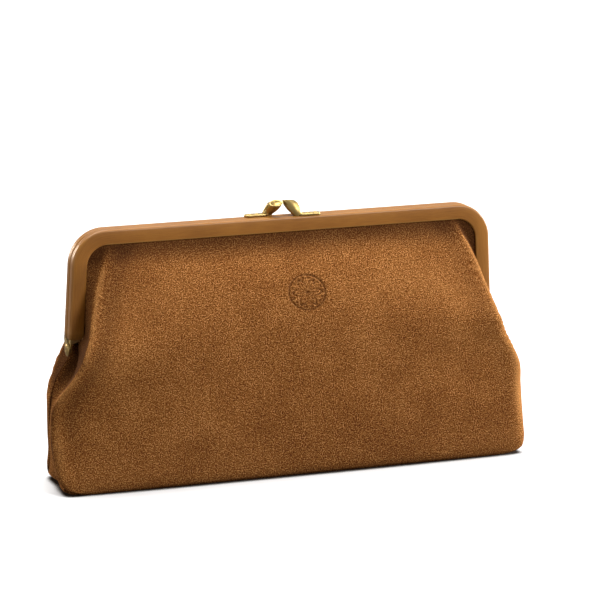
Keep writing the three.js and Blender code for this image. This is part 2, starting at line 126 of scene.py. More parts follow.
# ------------------------ the left end of the pouch
# Each row holds the height and, at that height, the front ridge (half length, depth), the edge
# of the front panel (half length, depth), the gusset's middle fold (half length), the edge of
# the back panel (half length, depth) and the back ridge (half length, depth).
ENDS = [
    (137.5, (100, 3.9), (101, 3.85), 101, (101, 3.85), (100, 3.9)),
    (134.0, (104, 4.3), (108, 3.85), 108, (108, 3.85), (104, 4.1)),
    (128.5, (106.4, 6.4), (113, 3.85), 113, (113, 3.85), (108.0, 4.9)),
    (122.0, (109.8, 9.6), (116, 3.85), 116, (116, 3.85), (111.0, 6.2)),
    (111.0, (114.4, 13.6), (118, 3.85), 118, (118, 3.85), (114.0, 8.8)),
    (101.0, (117.7, 17.6), (119, 3.85), 119, (119, 3.85), (116.4, 11.6)),
    (92.0, (120.6, 21.9), (120, 3.85), 120, (120, 3.85), (118.6, 13.6)),
    (86.0, (122.5, 24.8), (120.6, 3.85), 120.6, (120.6, 3.85), (120.4, 14.8)),
    (80.0, (125.0, 26.6), (121.4, 3.6), 119.0, (121.4, 3.6), (122.6, 15.6)),
    (73.0, (127.6, 27.0), (123.6, 9.5), 118.4, (122.8, 5.0), (126.0, 16.0)),
    (67.0, (131.2, 26.2), (128.4, 17.0), 120.6, (126.0, 6.8), (128.8, 16.2)),
    (61.0, (135.0, 24.0), (133.4, 18.6), 123.8, (129.2, 8.2), (130.6, 16.2)),
    (55.0, (138.8, 21.0), (137.8, 17.0), 127.6, (131.6, 9.2), (132.8, 16.0)),
    (48.5, (141.2, 18.6), (140.4, 15.0), 131.4, (133.0, 9.8), (134.2, 15.8)),
    (41.0, (142.0, 17.8), (141.0, 13.8), 134.2, (133.4, 10.4), (134.8, 15.8)),
    (34.0, (142.2, 19.0), (141.0, 13.4), 135.4, (133.2, 11.0), (134.6, 16.4)),
    (26.0, (142.0, 21.0), (140.6, 13.8), 136.0, (132.8, 11.8), (134.2, 17.4)),
    (17.0, (141.8, 22.8), (139.4, 15.2), 135.4, (131.8, 13.4), (133.2, 18.8)),
    (10.0, (141.0, 24.8), (138.0, 17.8), 134.6, (131.8, 15.2), (133.2, 20.2)),
    (6.5, (139.6, 25.6), (136.6, 20.6), 133.6, (131.6, 17.0), (133.0, 21.0)),
    (4.4, (137.8, 26.0), (135.0, 23.4), 132.6, (131.4, 18.4), (132.8, 21.6)),
]
BASE_SEAM = {-1: 20.0, 1: 20.0}  # depth of the seams along the middle of the base
CORNER_DEPTH = {-1: 25.2, 1: 21.0}  # depth of the seams where they turn the bottom corners
RIGHT_FLARE = 2.6  # the right bottom corner stands out this much further than the left

# The middle of each panel (depth, height), from the bottom seam up into the frame's channel.
FRONT_BELLY = [
    (20.0, 0.4), (24.2, 0.25), (26.4, 0.6), (27.7, 1.9), (28.3, 4.4), (28.4, 8), (28.1, 20),
    (27.8, 45), (27.2, 64), (26.4, 78), (24.8, 90), (22.4, 99), (19.2, 107), (15.6, 114),
    (11.0, 121.0), (7.0, 126.0), (4.6, 130.0), (4.0, 134.0), (3.85, 137.5),
]
BACK_BELLY = [
    (20.0, 0.45), (22.0, 0.4), (23.6, 1.4), (24.3, 4.6), (24.6, 20), (24.6, 45), (24.2, 64),
    (23.2, 78), (21.4, 90), (19.2, 99), (16.4, 107), (13.2, 114), (9.6, 121),
    (6.6, 126.5), (4.7, 131.0), (4.0, 134.6), (3.85, 137.5),
]

RIDGE_ROUND_Z = [0, 10, 32, 44, 52, 88, 100, 118, 134]
RIDGE_ROUND = {  # how softly the panels turn over their ridges, by height
    "left": [4.0, 6.0, 6.4, 3.4, 1.3, 1.2, 2.6, 4.2, 2.4],
    "right": [4.0, 7.0, 8.0, 6.5, 4.0, 1.4, 1.4, 1.4, 1.2],
}
RIGHT_DEPTH_Z = [4, 10, 17, 26, 41, 55, 67, 80]  # the right end is filled out more evenly
RIGHT_DEPTH = [26.0, 25.8, 25.4, 25.0, 24.6, 25.2, 26.2, 26.6]
RIGHT_TRADE = 0.47  # half length given up for each millimetre of that depth


def end_curve(pick):
    rows = sorted(ENDS, key=lambda row: row[0])
    return Curve([row[0] for row in rows], [np.atleast_1d(pick(row)) for row in rows])


RIDGE = {-1: end_curve(lambda row: row[1]), 1: end_curve(lambda row: row[5])}
EDGE = {-1: end_curve(lambda row: row[2]), 1: end_curve(lambda row: row[4])}
FOLD = end_curve(lambda row: row[3])


def channel_x(z, inset):
    """Half length, at height z, of the line that follows the frame at an inset."""
    z = np.asarray(z, float)
    radius = CORNER_RADIUS - inset
    rise = np.clip((z - ARC_Z) / radius, 0, 1)
    arc = ARC_X + radius / math.cos(SPLAY) * np.sqrt(1 - rise * rise)
    return np.where(z > ARC_Z, arc, arm_x(z, inset))


def flare(points):
    """Moves points at the right end out by the flare of its lower corner."""
    points = points.copy()
    right = smoothstep((points[..., 0] - 60) / 60)
    points[..., 0] += RIGHT_FLARE * right * np.exp(-((points[..., 2] / 22) ** 2))
    return points


# ------------------------ meshes from grids
def grid_normals(grid):
    du = np.gradient(grid, axis=1)
    dv = np.gradient(grid, axis=0)
    n = np.cross(du, dv)
    return n / np.maximum(np.linalg.norm(n, axis=2, keepdims=True), 1e-9)


def place(name, data):
    """Puts new data into the scene as an object."""
    obj = bpy.data.objects.new(name, data)
    bpy.context.scene.collection.objects.link(obj)
    return obj


def make_mesh(name, points, faces, uv=None, smooth=True):
    """A mesh from points in millimetres and faces; uv holds a pair per point."""
    mesh = bpy.data.meshes.new(name)
    mesh.from_pydata((np.asarray(points) * MM).tolist(), [], [list(map(int, f)) for f in faces])
    if uv is not None:
        layer = mesh.uv_layers.new(name="surface")
        loops = np.zeros(len(mesh.loops), int)
        mesh.loops.foreach_get("vertex_index", loops)
        layer.data.foreach_set("uv", np.asarray(uv, float)[loops].ravel())
    mesh.polygons.foreach_set("use_smooth", [smooth] * len(mesh.polygons))
    mesh.validate()
    return place(name, mesh)


def tube_faces(rings, around):
    """Faces between closed rings of points that follow each other, with a cap at each end."""
    faces = []
    for low in range(0, (rings - 1) * around, around):
        for b in range(around):
            c = (b + 1) % around
            faces.append([low + b, low + c, low + around + c, low + around + b])
    last = (rings - 1) * around
    return faces + [list(range(around))[::-1], list(range(last, last + around))]


def merged(parts):
    """The points and faces of several parts as those of one."""
    points, faces = [], []
    for part_points, part_faces in parts:
        faces += [[i + len(points) for i in face] for face in part_faces]
        points += part_points
    return points, faces


def surface_lengths(grid):
    """Distances in metres along the rows and columns of a grid, for its texture."""
    across = np.linalg.norm(np.diff(grid, axis=1), axis=2)
    along = np.linalg.norm(np.diff(grid, axis=0), axis=2)
    u = np.concatenate([np.zeros((len(grid), 1)), np.cumsum(across, axis=1)], axis=1)
    v = np.concatenate([np.zeros((1, grid.shape[1])), np.cumsum(along, axis=0)], axis=0)
    u -= u[:, u.shape[1] // 2][:, None]
    return np.stack([u, v], axis=2) * MM


def sheet_mesh(name, grid, thickness, flip=False):
    """A closed sheet: the grid is its face, and it is thickened towards its back."""
    rows, columns = grid.shape[:2]
    normals = grid_normals(grid) * (-1 if flip else 1)
    back = grid - normals * thickness
    uv = surface_lengths(grid)
    points = np.concatenate([grid.reshape(-1, 3), back.reshape(-1, 3)])
    count = rows * columns
    index = np.arange(count).reshape(rows, columns)
    quads = np.stack([index[:-1, :-1], index[:-1, 1:], index[1:, 1:], index[1:, :-1]], axis=2)
    front_faces = quads.reshape(-1, 4)
    back_faces = front_faces[:, ::-1] + count
    rim = np.concatenate([index[0, :], index[1:, -1], index[-1, -2::-1], index[-2:0:-1, 0]])
    after = np.roll(rim, -1)
    rim_faces = np.stack([rim, rim + count, after + count, after], axis=1)
    faces = np.concatenate([front_faces, back_faces, rim_faces])
    if flip:
        faces = faces[:, ::-1]
    return make_mesh(name, points, faces, np.concatenate([uv.reshape(-1, 2)] * 2))


def paint(obj, name, values):
    """Stores one number per grid point on a sheet, for its material."""
    layer = obj.data.attributes.new(name, "FLOAT", "POINT")
    layer.data.foreach_set("value", np.concatenate([values.ravel()] * 2).astype(np.float32))


def rounded(points, width):
    """Rounds a line's corners with a moving average that keeps both of its ends."""
    t = chord_knots(points)
    even = np.linspace(0, t[-1], 700)
    line = np.stack([np.interp(even, t, points[:, k]) for k in range(3)], axis=1)
    step = even[1] - even[0]
    middle = (line[1:] + line[:-1]) / 2 * step
    total = np.concatenate([np.zeros((1, 3)), np.cumsum(middle, axis=0)])
    half = np.minimum(np.minimum(width, even), even[-1] - even)
    half = np.maximum(half, step)
    ahead = np.clip(even + half, 0, even[-1])
    behind = np.clip(even - half, 0, even[-1])
    high = np.stack([np.interp(ahead, even, total[:, k]) for k in range(3)], axis=1)
    low = np.stack([np.interp(behind, even, total[:, k]) for k in range(3)], axis=1)
    result = (high - low) / (ahead - behind)[:, None]
    result[0], result[-1] = line[0], line[-1]
    return result


# ------------------------ panels
EMBLEM_X, EMBLEM_Z = 7.0, 103.0  # centre of the blind-stamped rosette
EMBLEM_HALF = 12.5
GRID_STEP = 2.8
FINE_STEP = 0.42
HALF_NOMINAL = 150.0
EDGE_STEPS = [0, 0.3, 0.7, 1.1, 1.6, 2.2, 3.0, 4.0, 5.2, 6.6, 8.2, 9.8, 11.4, 13.0, 14.6, 16.2,
              17.8, 19.4, 21.0, 22.8, 24.8, 27.0]
INNER_START = 40.0
BACK_COLUMNS, BACK_ROWS = 84, 54  # the back panel has no emblem and is left coarser
SEAM_LINE = 1.1  # width of the dark line at a seam
RIM_SHADE_LINE = 4.4  # the same at the front panel's left end, widened there into painted shade over the rim seen edge on


def steps_between(low, high, fine_low, fine_high, step, fine):
    """Positions from low to high, close together between fine_low and fine_high."""
    parts = []
    for a, b, size in ((low, fine_low, step), (fine_low, fine_high, fine), (fine_high, high, step)):
        count = max(int(round((b - a) / size)), 1)
        parts.append(np.linspace(a, b, count, endpoint=False))
    return np.concatenate(parts + [[high]])


def column_places(fine):
    """Distances along a row, from its middle, as if each row were HALF_NOMINAL long."""
    edge = np.array(EDGE_STEPS)
    inner = HALF_NOMINAL - edge[-1]
    if fine:
        spread = EMBLEM_X - EMBLEM_HALF, EMBLEM_X + EMBLEM_HALF
        middle = steps_between(-inner, inner, *spread, GRID_STEP, FINE_STEP)
    else:
        middle = np.linspace(-inner, inner, BACK_COLUMNS)
    return np.concatenate([-HALF_NOMINAL + edge[:-1], middle, (HALF_NOMINAL - edge[:-1])[::-1]])


def real_places(nominal, length):
    """Distance from the row's edge of the nominal places on one half of a row."""
    from_edge = HALF_NOMINAL - np.abs(nominal)
    start = EDGE_STEPS[-1]
    stop = HALF_NOMINAL - INNER_START
    share = (from_edge - start) / (stop - start)
    between = start + share * (length - INNER_START - start)
    inner = length - np.abs(nominal)
    return np.where(from_edge <= start, from_edge, np.where(from_edge >= stop, inner, between))


def filled_ridge(z, ridge_x, ridge_y):
    """The front ridge's half length and depth at the right end, which is filled out more."""
    filled = max(ridge_y, float(np.interp(z, RIGHT_DEPTH_Z, RIGHT_DEPTH)))
    filled = ridge_y + (filled - ridge_y) * float(smoothstep((84 - z) / 8))
    return ridge_x - (filled - ridge_y) * RIGHT_TRADE, filled


def panel_section(side, z_mid, depth_mid, z_edge, end):
    """One row of a panel from one edge to its middle, drawn on the left, as a rounded line."""
    edge_x, edge_y = EDGE[side](z_edge)
    ridge_x, ridge_y = RIDGE[side](z_edge)
    if side < 0 and end == "right":
        ridge_x, ridge_y = filled_ridge(z_edge, ridge_x, ridge_y)
    in_frame = smoothstep((z_edge - 80.5) / 4.5)
    points = []
    if in_frame > 0:
        mouth_x = float(channel_x(z_edge, 8.9))
        deep_x = float(channel_x(z_edge, 4.2))
        edge_x = edge_x + (deep_x - edge_x) * in_frame
        edge_y = edge_y + (SUEDE_FACE - edge_y) * in_frame
        points.append((-edge_x, edge_y))
        lip_x = edge_x + (mouth_x - edge_x) * in_frame
        points.append((-lip_x, edge_y + 0.1))
        ridge_y = max(ridge_y, edge_y + 0.2)
        valley_x = ridge_x + 1.2 + (ridge_y - edge_y) * 0.12
        if valley_x < lip_x:
            points.append((-valley_x, edge_y + 0.25))
    else:
        points.append((-edge_x, edge_y))
    points.append((-ridge_x, ridge_y))
    share = np.linspace(0, 1, 40)[1:]
    fullness = float(np.interp(z_edge, [46, 62, 84], [3.4, 2.6, 2.1]))
    crown = 1 - (1 - share) ** fullness
    face = np.stack([-ridge_x * (1 - share), ridge_y + (depth_mid - ridge_y) * crown], axis=1)
    flat = np.concatenate([np.array(points), face])
    rise_length = float(np.interp(z_mid, [0, 14], [13, 55]))
    rise = smoothstep(chord_knots(flat) / rise_length)
    z = z_edge + (z_mid - z_edge) * rise
    line = np.stack([flat[:, 0], side * flat[:, 1], z], axis=1)
    line = rounded(line, float(np.interp(z_edge, RIDGE_ROUND_Z, RIDGE_ROUND[end])))
    gap = np.hypot(line[:, 0] + ridge_x, line[:, 1] - side * ridge_y)
    return line, int(np.argmin(gap))


def ridge_wear_and_painted_shade(from_ridge, z, end):
    """Wear and painted light: 1 where the ridge is rubbed light and given a painted highlight, -1
    where painted shade darkens it.
    """
    # the rubbed-light ridge is partly wear and partly a painted highlight along the rim
    rubbed_highlight_width = np.interp(z, [50, 75, 130], [5, 1.6, 1.2])
    rubbed_wear_and_highlight = np.exp(-((from_ridge - 0.8) / rubbed_highlight_width) ** 2)
    rubbed_wear_and_highlight = rubbed_wear_and_highlight * np.interp(z, [0, 12, 30, 120, 134], [0, 0.4, 0.8, 0.8, 0])
    # painted shade in the fold and the nook between the frame's arm and the ridge
    painted_fold_shade = smoothstep((-from_ridge - 0.2) / 2.0) * smoothstep((z - 46) / 14)
    if end == "left":
        painted_fold_shade = painted_fold_shade * float(np.interp(z, [0, 84, 104], [1, 1, 0.5]))
    # painted shade under the frame bar
    painted_shade_under_bar = 0.75 * smoothstep((z - 119) / 13)
    # painted shade towards the base
    painted_shade_near_base = 0.2 * (1 - smoothstep((z - 12) / 34))
    # painted shade in a band on the face beside the ridge
    painted_shade_beside_ridge = np.exp(-((from_ridge - 9) / 7) ** 2) * (0.4 if end == "left" else 0.22)
    painted_shade_beside_ridge = painted_shade_beside_ridge * smoothstep((z - 20) / 20)
    painted_shade = painted_fold_shade + painted_shade_under_bar + painted_shade_near_base + painted_shade_beside_ridge * (from_ridge > 0)
    return np.maximum(rubbed_wear_and_highlight - painted_shade, -1)


def with_seam_line(painted_shade_and_wear, distance, z):
    """Adds the dark line where the nap parts at a seam to the painted shade and wear; the distance
    is in line widths.
    """
    line = np.exp(-distance ** 2) * (1 - smoothstep((z - 46) / 10))
    return np.maximum(painted_shade_and_wear * (1 - line) - line, -1)


def panel_seam_lines(painted_shade_and_wear, grid, end_width):
    """Painted shade and wear of a panel, with dark lines at its side and bottom seams; end_width is
    the left one's.
    """
    left = np.linalg.norm(grid - grid[:, :1], axis=2) / end_width
    right = np.linalg.norm(grid - grid[:, -1:], axis=2) / SEAM_LINE
    bottom = np.linalg.norm(grid - grid[:1], axis=2) / SEAM_LINE
    near = np.minimum(np.minimum(left, right), bottom)
    return with_seam_line(painted_shade_and_wear, near, grid[..., 2])


def panel_grid(side, belly, fine):
    """side -1 is the front panel and +1 the back one. Rows run upwards, columns left to right."""
    profile = Curve(chord_knots(belly), belly)
    total = profile.t[-1]
    dense = np.linspace(0, total, 3000)
    heights = profile(dense)[:, 1]
    if fine:
        low, high = EMBLEM_Z - EMBLEM_HALF * 0.9, EMBLEM_Z + EMBLEM_HALF * 0.9
        spread = float(np.interp(low, heights, dense)), float(np.interp(high, heights, dense))
        rows = steps_between(6.0, total - 5, *spread, GRID_STEP, FINE_STEP)
    else:
        rows = np.linspace(6.0, total - 5, BACK_ROWS)
    first = [0, 0.35, 0.8, 1.3, 1.9, 2.6, 3.5, 4.7]
    last = [total - 4, total - 3, total - 2, total - 1, total]
    rows = np.concatenate([first, rows, last])
    centre = profile(rows)
    places = column_places(fine)
    left = places < 0
    low_edge = ENDS[-1][0]
    grid = np.zeros((len(rows), len(places), 3))
    # painted shade, painted highlight and wear for each grid point
    painted_shade_and_wear = np.zeros(grid.shape[:2])
    for j, (depth, z) in enumerate(centre):
        z_edge = z + (low_edge - 0.4) * math.exp(-((z - 0.4) / 6) ** 2)
        for end, part in (("left", left), ("right", ~left)):
            line, ridge_at = panel_section(side, z, depth, z_edge, end)
            t = chord_knots(line)
            at = real_places(places, t[-1])
            painted_shade_and_wear[j, part] = ridge_wear_and_painted_shade(at - t[ridge_at], z, end)[part]
            for k in range(3):
                grid[j, part, k] = np.interp(at, t, line[:, k])[part]
        grid[j, ~left, 0] *= -1
    # the lowest row turns the corner, lies along the base seam and takes the next rows with it
    reach = np.exp(-((rows / 4.0) ** 2))
    base = grid[0].copy()
    inside = base[:, 0] - base[0, 0]
    inside = np.minimum(inside, inside[::-1])
    turn = np.exp(-((inside / 13) ** 3))
    base[:, 1] = side * (BASE_SEAM[side] + (CORNER_DEPTH[side] - BASE_SEAM[side]) * turn)
    first = np.exp(-((inside / 3.0) ** 2))
    base[:, 1] += (grid[0, 0, 1] - base[:, 1]) * first
    base[:, 2] = 0.45 + (base[0, 2] - 0.45) * np.exp(-((inside / 12) ** 3))
    grid += (base - grid[0])[None] * reach[:, None, None]
    return flare(grid), painted_shade_and_wear


def stamp_mask(grid):
    """How deeply each point is pressed by a generic leaf rosette, from 0 to 1."""
    dx = grid[..., 0] - EMBLEM_X
    dz = (grid[..., 2] - EMBLEM_Z) * 1.18
    radius = np.hypot(dx, dz)
    angle = np.arctan2(dz, dx)

    def line(distance, width):
        return np.exp(-((distance / width) ** 4))

    ring = line(radius - 10.8, 0.55)
    leaf_edge = 2.2 + 6.2 * np.abs(np.cos(3 * angle)) ** 0.9
    leaves = line(radius - leaf_edge, 0.6)
    vein = line(np.sin(3 * angle) * radius, 0.5) * (radius < 6.4)
    dots = line(radius - 9.0, 0.55) * (np.cos(18 * angle) > 0.1) * 0.9
    eye = line(radius, 1.2)
    return np.maximum.reduce([ring, leaves, vein, dots, eye]) * (radius < 14)


def wobble(grid, amount, scale, seed):
    """Small uneven waves, as hand-worked leather has."""
    normals = grid_normals(grid)
    offset = Vector((seed * 7.3, seed * 3.1, seed * 5.7))
    flat = grid.reshape(-1, 3)
    waves = [noise.noise(Vector(p) / scale + offset) for p in flat.tolist()]
    waves = np.array(waves).reshape(grid.shape[:2])
    keep = smoothstep((132 - grid[..., 2]) / 14) * smoothstep(grid[..., 2] / 10)
    ends = np.minimum(np.arange(grid.shape[1]), np.arange(grid.shape[1])[::-1])
    keep = keep * smoothstep(ends / 12.0)[None, :]
    return grid + normals * (waves * keep * amount)[..., None]


STAMP_DEPTH = 0.55


def bend(obj):
    """Bakes a piece's transform into its mesh."""
    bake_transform(obj)


front_grid, front_shade_and_wear = panel_grid(-1, FRONT_BELLY, True)
front_grid = wobble(front_grid, 0.28, 40.0, 1)
back_grid, back_shade_and_wear = panel_grid(1, BACK_BELLY, False)
back_grid = wobble(back_grid, 0.7, 30.0, 2)
pressed = stamp_mask(front_grid)
stamped_grid = front_grid - grid_normals(front_grid) * (pressed * STAMP_DEPTH)[..., None]
front_panel = sheet_mesh("front_panel", stamped_grid, SUEDE)
paint(front_panel, "pressed", pressed)
# painted shade and painted highlight for the suede's colour, with the dark seam lines
paint(front_panel, "painted_shade_and_wear", panel_seam_lines(front_shade_and_wear, front_grid, RIM_SHADE_LINE))
back_panel = sheet_mesh("back_panel", back_grid, SUEDE, flip=True)
paint(back_panel, "painted_shade_and_wear", panel_seam_lines(back_shade_and_wear, back_grid, SEAM_LINE))
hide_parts("front_panel_upper", "front_panel_lower")
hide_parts("back_panel_upper", "back_panel_lower")


# ------------------------ gusset
GUSSET_TOP = 80.0
FOLD_FLOOR = 0.35
LINING_FLOOR = 3.2  # keeps the gusset's lining over the base board
GUSSET_SHARES = [0, 0.012, 0.026, 0.044, 0.07, 0.1, 0.14, 0.2, 0.28, 0.38, 0.5, 0.62, 0.75, 0.88, 1]


def fold_curve():
    """The gusset's middle fold as a rounded line: (x, z) from the base's middle up to the hinge."""
    up = np.linspace(FOLD_FLOOR, GUSSET_TOP - 3, 60)
    side_x = -FOLD(np.maximum(up, ENDS[-1][0]))[:, 0]
    corner = side_x[0] - 1.5
    along = np.linspace(0, corner, 80)[:-1]
    base = np.stack([along, np.zeros_like(along), np.full_like(along, FOLD_FLOOR)], axis=1)
    side = np.stack([side_x - 1.5 * np.exp(-up / 6), np.zeros_like(up), up], axis=1)
    line = rounded(np.concatenate([base, side]), 8.0)
    return line, chord_knots(line), abs(corner)


def gusset_grid(side, grid, shift=0.0):
    """Half of the gusset strip, from the panel's edge to the middle fold, hinge to hinge."""
    edge = grid[:, 0]
    upward = edge[edge[:, 2] < GUSSET_TOP][::-1]
    base = grid[0, 1:][grid[0, 1:, 0] < -0.5]
    middle = np.array([[0.0, base[-1, 1], base[-1, 2]]])
    path = np.concatenate([upward, base, middle])
    fold, fold_t, corner_t = fold_curve()
    walk = chord_knots(path)
    corner = walk[len(upward) - 1]
    side_share = (fold_t[-1] - corner_t) / corner
    base_share = corner_t / (walk[-1] - corner)
    offset = np.where(walk < corner, (corner - walk) * side_share, (corner - walk) * base_share)
    folds = np.stack([np.interp(corner_t + offset, fold_t, fold[:, k]) for k in range(3)], axis=1)
    share = np.array(GUSSET_SHARES)
    height = path[:, 2]
    slack = 3.6 * smoothstep((height - 36) / 30) * (1 - smoothstep((height - 76) / 5))
    slack = slack - 0.9 * (1 - smoothstep((height - 30) / 12)) * (height > 2.5)
    line = path[:, None, :] + (folds - path)[:, None, :] * share[None, :, None]
    line[..., 0] += slack[:, None] * np.sin(np.pi * share)[None, :]
    low = (1 - smoothstep((height - 4.5) / 5))[:, None]
    fall = (1 - np.clip(share / 0.1, 0, 1)) ** 1.6
    drop = folds[:, 2:] + (path - folds)[:, 2:] * fall[None, :]
    line[..., 2] += (drop - line[..., 2]) * low
    if not shift:
        lifted = low * smoothstep((height - 0.6) / 3)[:, None]
        bulge = np.sin(np.pi * np.clip(share / 0.16, 0, 1)) * (0.9 if side < 0 else 0.45)
        line[..., 1] += np.sign(path[:, 1:2]) * lifted * bulge[None, :]
    tuck = np.exp(-share / 0.05)[None, :, None] * 0.45
    inward_x = -np.sign(path[:, 0]) * (height > 2.5)
    inward = np.stack([inward_x, -np.sign(path[:, 1]), height < 6], axis=1)
    line = line + tuck * inward[:, None, :]
    right = line[::-1][1:].copy()
    right[..., 0] *= -1
    whole = np.concatenate([line, right])
    whole = np.where(whole[..., :1] > 0, flare(whole), whole)
    if not shift:
        return whole
    whole = inward_copy(whole, shift, side > 0)[:, 4:]
    whole[..., 2] = np.maximum(whole[..., 2], LINING_FLOOR)
    return whole


def inward_copy(grid, distance, flip=False):
    """The grid moved towards the inside of the pouch; the back's normals point the other way."""
    return grid - grid_normals(grid) * (distance * (-1 if flip else 1))


front_gusset = sheet_mesh("front_gusset", gusset_grid(-1, front_grid), SUEDE)
back_gusset = sheet_mesh("back_gusset", gusset_grid(1, back_grid), SUEDE, flip=True)
for gusset, side, panel in ((front_gusset, -1, front_grid), (back_gusset, 1, back_grid)):
    # painted shade: the hollow below the hinge is darkened, and on the back half only towards the
    # fold; the seam gets its dark line
    strip = gusset_grid(side, panel)
    painted_hollow_shade = smoothstep((strip[..., 2] - 40) / 26)
    to_fold = smoothstep(np.linspace(0, 1.6, strip.shape[1])) if side > 0 else 1.0
    from_seam = np.linalg.norm(strip - strip[:, :1], axis=2) / SEAM_LINE
    paint(gusset, "painted_shade_and_wear", with_seam_line(-painted_hollow_shade * to_fold, from_seam, strip[..., 2]))
front_gusset_lining = sheet_mesh(
    "front_gusset_lining", gusset_grid(-1, front_grid, SUEDE + 0.2), LINING)
back_gusset_lining = sheet_mesh(
    "back_gusset_lining", gusset_grid(1, back_grid, SUEDE + 0.2), LINING, flip=True)
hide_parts("gusset")
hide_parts("gusset_lining")


# ------------------------ linings
def thin(grid):
    """Every few rows and columns of a grid, with its last ones."""
    rows = sorted(set(range(0, grid.shape[0], 2)) | {grid.shape[0] - 1})
    columns = sorted(set(range(0, grid.shape[1], 2)) | {grid.shape[1] - 1})
    return grid[np.ix_(rows, columns)]


LINING_HEM_HALF, LINING_HEM_DEPTH, LINING_HEM_Z = 129.0, 16.5, 3.9


def with_hem(grid, side):
    """A panel's lining with its lower edge turned in over the lining of the base."""
    grid = thin(grid[9:, 6:-6])
    hem = grid[0].copy()
    hem[:, 1] = side * LINING_HEM_DEPTH
    hem[:, 2] = LINING_HEM_Z
    hem[:, 0] = np.clip(hem[:, 0], -LINING_HEM_HALF, LINING_HEM_HALF)
    corner = grid[0] * 0.5 + hem * 0.5
    corner[:, 2] = LINING_HEM_Z + 0.4
    return np.concatenate([hem[None], corner[None], grid])


lining_front = inward_copy(front_grid, SUEDE + LOOSE)
lining_back = inward_copy(back_grid, SUEDE + LOOSE, flip=True)
front_lining = sheet_mesh("front_lining", with_hem(lining_front, -1), LINING)
back_lining = sheet_mesh("back_lining", with_hem(lining_back, 1), LINING, flip=True)
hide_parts("front_lining_upper", "front_lining_lower")
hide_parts("back_lining_upper", "back_lining_lower")


# ------------------------ slip pocket on the back lining
POCKET_HALF, POCKET_LOW, POCKET_HIGH = 69.0, 9.0, 51.5
HEM = 8.0  # height of the hem turned down inside the pocket's mouth
POCKET_GAP = SUEDE + LOOSE + LINING + 0.15
STITCH_IN = 2.0  # from the pocket's edge to its stitching


def pocket_place(x, z, inward):
    """A point on the pocket, which follows the back panel and stands off towards its mouth."""
    behind = float(np.interp(z, BACK_WALL_Z, BACK_WALL_Y))
    mouth = ((z - POCKET_LOW) / (POCKET_HIGH - POCKET_LOW)) ** 2
    slack = 2.0 * mouth * math.cos(x / POCKET_HALF * math.pi / 2) ** 0.8
    return x, behind - POCKET_GAP - inward - slack, z


middle_column = np.argmin(np.abs(back_grid[0, :, 0]))
near_wall = np.abs(back_grid[:, :, 0]) < POCKET_HALF + 4
nearest = [row[mask, 1].min() for row, mask in zip(back_grid, near_wall)]
BACK_WALL_Z = back_grid[:, middle_column, 2][8:]
BACK_WALL_Y = np.array(nearest)[8:]
# up the outside, over the mouth and down the hem: (height, how far inwards)
pocket_rows = [(z, 0.0) for z in np.linspace(POCKET_LOW, POCKET_HIGH - 0.4, 16)]
pocket_rows += [(POCKET_HIGH, 0.35), (POCKET_HIGH - 0.3, 0.95)]
pocket_rows += [(z, 1.05) for z in np.linspace(POCKET_HIGH - 1.4, POCKET_HIGH - HEM, 6)]
pocket_columns = np.linspace(-POCKET_HALF, POCKET_HALF, 47)
pocket_grid = np.array(
    [[pocket_place(x, z, inward) for x in pocket_columns] for z, inward in pocket_rows])
pocket = sheet_mesh("inner_pocket_patch", pocket_grid, 0.42, flip=True)
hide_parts("inner_pocket")


def stitch(centre, along, length=2.1, wide=0.34, high=0.3):
    """One raised stitch as a small rounded lozenge: its points and faces."""
    centre, along, out = np.array(centre), np.array(along), np.array((0, -1, 0))
    across = np.cross(along, out)
    rings = []
    for k, size in ((-1, 0.15), (-0.7, 0.8), (0, 1.0), (0.7, 0.8), (1, 0.15)):
        middle = centre + along * (k * length / 2)
        for angle in np.arange(0, 360, 60):
            turn = math.radians(float(angle))
            bend_out = out * math.sin(turn) * high * size
            rings.append(middle + across * math.cos(turn) * wide * size + bend_out)
    return rings, tube_faces(5, 6)


def stitched_line(start, stop, inward, pitch=3.1):
    """Stitches from one (x, z) to another on the pocket's inner face."""
    (x0, z0), (x1, z1) = start, stop
    length = math.hypot(x1 - x0, z1 - z0)
    along = ((x1 - x0) / length, 0, (z1 - z0) / length)
    places = np.linspace(0, 1, int(length / pitch) + 1)
    return [
        stitch(pocket_place(x0 + (x1 - x0) * t, z0 + (z1 - z0) * t, inward + 0.5), along)
        for t in places
    ]


seam_x, seam_z = POCKET_HALF - STITCH_IN, POCKET_LOW + STITCH_IN
hem_z, side_top = POCKET_HIGH - HEM + 1.2, POCKET_HIGH - HEM - 2
stitches = stitched_line((-seam_x, hem_z), (seam_x, hem_z), 1.05)
stitches += stitched_line((-seam_x, side_top), (-seam_x, seam_z), 0.0)
stitches += stitched_line((seam_x, seam_z), (seam_x, side_top), 0.0)
stitches += stitched_line((-seam_x + 3, seam_z), (seam_x - 3, seam_z), 0.0)
pocket_stitches = make_mesh("pocket_stitches", *merged(stitches))


